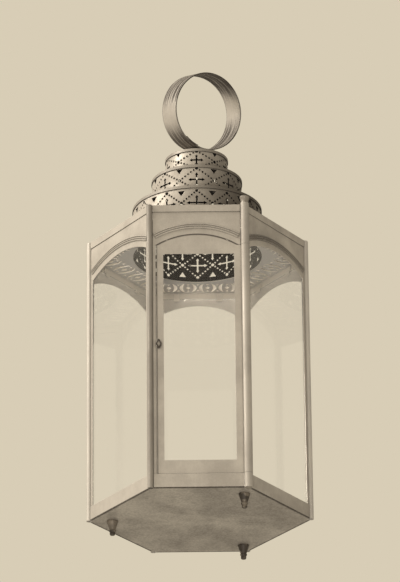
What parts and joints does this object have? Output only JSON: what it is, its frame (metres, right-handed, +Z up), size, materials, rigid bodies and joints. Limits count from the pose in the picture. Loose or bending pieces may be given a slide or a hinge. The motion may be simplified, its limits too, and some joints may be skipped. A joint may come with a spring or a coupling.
{
  "type": "punched tin lantern",
  "caption": "Hexagonal tin candle lantern with arched glazed sides, a hinged door with a turn catch, a punched stepped round top and a swivel carrying ring.",
  "frame": {"origin": "on the ground under the middle of the lantern, at the foot tips", "axes": "+Z up, the door faces -Y, +X to the right as the door is faced"},
  "size_m": [0.2466, 0.2126, 0.5474],
  "materials": {
    "tinplate": "aged tinplate, soft sheen",
    "punched_tin": "aged tinplate, darker with soot",
    "pane_glass": "clear old glass",
    "foot_iron": "blackened, turned",
    "iron_wire": "dull drawn wire"
  },
  "bodies": {
    "lantern": {"arch_moulding_front": "tinplate", "arch_moulding_front_left": "tinplate", "arch_moulding_front_right": "tinplate", "arch_moulding_rear": "tinplate", "arch_moulding_rear_left": "tinplate", "arch_moulding_rear_right": "tinplate", "base_plate": "tinplate", "base_rail_front": "tinplate", "base_rail_front_left": "tinplate", "base_rail_front_right": "tinplate", "base_rail_rear": "tinplate", "base_rail_rear_left": "tinplate", "base_rail_rear_right": "tinplate", "candle_socket": "tinplate", "cap": "tinplate", "deck": "punched_tin", "drip_pan": "tinplate", "drum_lower": "punched_tin", "drum_middle": "punched_tin", "drum_upper": "punched_tin", "foot_front_right": "foot_iron", "foot_left": "foot_iron", "foot_rear_right": "foot_iron", "frame_front": "tinplate", "frame_front_left": "tinplate", "frame_front_right": "tinplate", "frame_rear": "tinplate", "frame_rear_left": "tinplate", "frame_rear_right": "tinplate", "hinge_post_lower": "tinplate", "hinge_post_upper": "tinplate", "hinge_rod": "iron_wire", "ledge_lower": "tinplate", "ledge_upper": "tinplate", "pane_clips": "tinplate", "pane_front_left": "pane_glass", "pane_front_right": "pane_glass", "pane_rear": "pane_glass", "pane_rear_left": "pane_glass", "pane_rear_right": "pane_glass", "post_front_left": "tinplate", "post_left": "tinplate", "post_rear_left": "tinplate", "post_rear_right": "tinplate", "post_right": "tinplate", "ring_rivet": "iron_wire", "top_rail_front": "tinplate", "top_rail_front_left": "tinplate", "top_rail_front_right": "tinplate", "top_rail_rear": "tinplate", "top_rail_rear_left": "tinplate", "top_rail_rear_right": "tinplate"},
    "door": {"door_frame": "tinplate", "door_hinge_tube": "tinplate", "door_pane": "pane_glass", "door_channels": "tinplate"},
    "catch": {"catch_knob": "iron_wire", "catch_tongue": "iron_wire"},
    "ring": {"ring": "tinplate"}
  },
  "joints": [
    {"name": "door_hinge", "type": "hinge", "parent": "lantern", "child": "door", "pos_m": [0.052, -0.102, 0.15], "axis": [0, 0, 1], "range_deg": [0, 180]},
    {"name": "catch_turn", "type": "hinge", "parent": "door", "child": "catch", "pos_m": [-0.0426, -0.102, 0.181], "axis": [0, 1, 0], "range_deg": [0, 90]},
    {"name": "ring_swivel", "type": "hinge", "parent": "lantern", "child": "ring", "pos_m": [0, 0, 0.45877], "axis": [0, 0, 1], "continuous": true}
  ]
}
